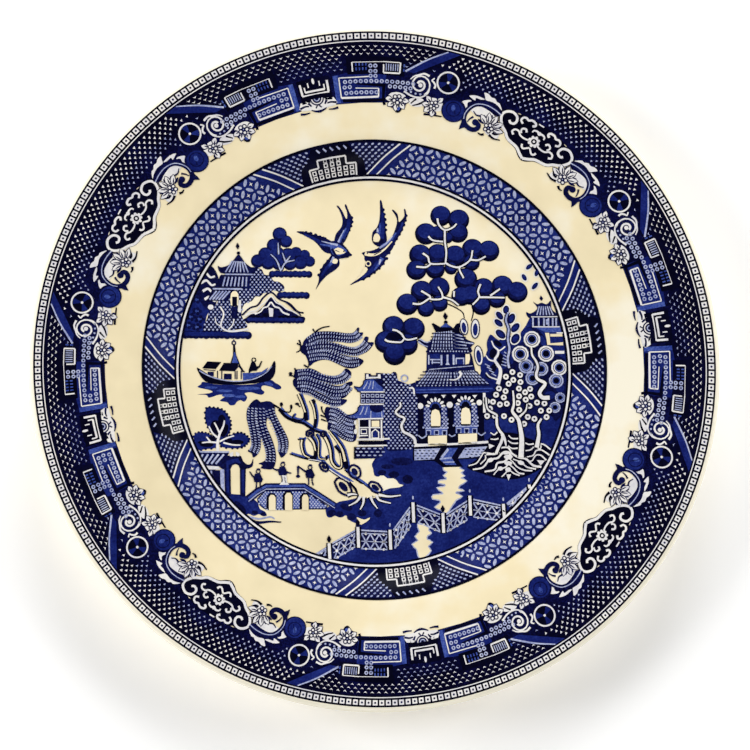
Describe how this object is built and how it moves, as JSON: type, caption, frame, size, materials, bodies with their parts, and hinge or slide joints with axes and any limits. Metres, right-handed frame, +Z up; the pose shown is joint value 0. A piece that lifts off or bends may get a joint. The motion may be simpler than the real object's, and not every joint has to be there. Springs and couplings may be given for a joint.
{
  "type": "dinner plate",
  "caption": "Round china dinner plate with a flat well, a curved verge, a sloped rim with a rounded edge and a foot ring, for serving a main course.",
  "frame": {"origin": "centre of the plane that the foot ring stands on", "axes": "+Z up along the axis the plate was turned about, +Y towards the top of the printed picture, +X to its right"},
  "size_m": [0.26, 0.26, 0.023],
  "materials": {
    "ivory_glaze": "ivory earthenware under a clear gloss glaze",
    "dark_print": "the darkest cobalt ink of the transfer print, under the glaze",
    "cobalt_print": "mid cobalt ink of the transfer print, under the glaze",
    "pale_print": "pale stippled cobalt of the transfer print, under the glaze"
  },
  "bodies": {
    "root": {"plate_body": "ivory_glaze"}
  },
  "joints": []
}
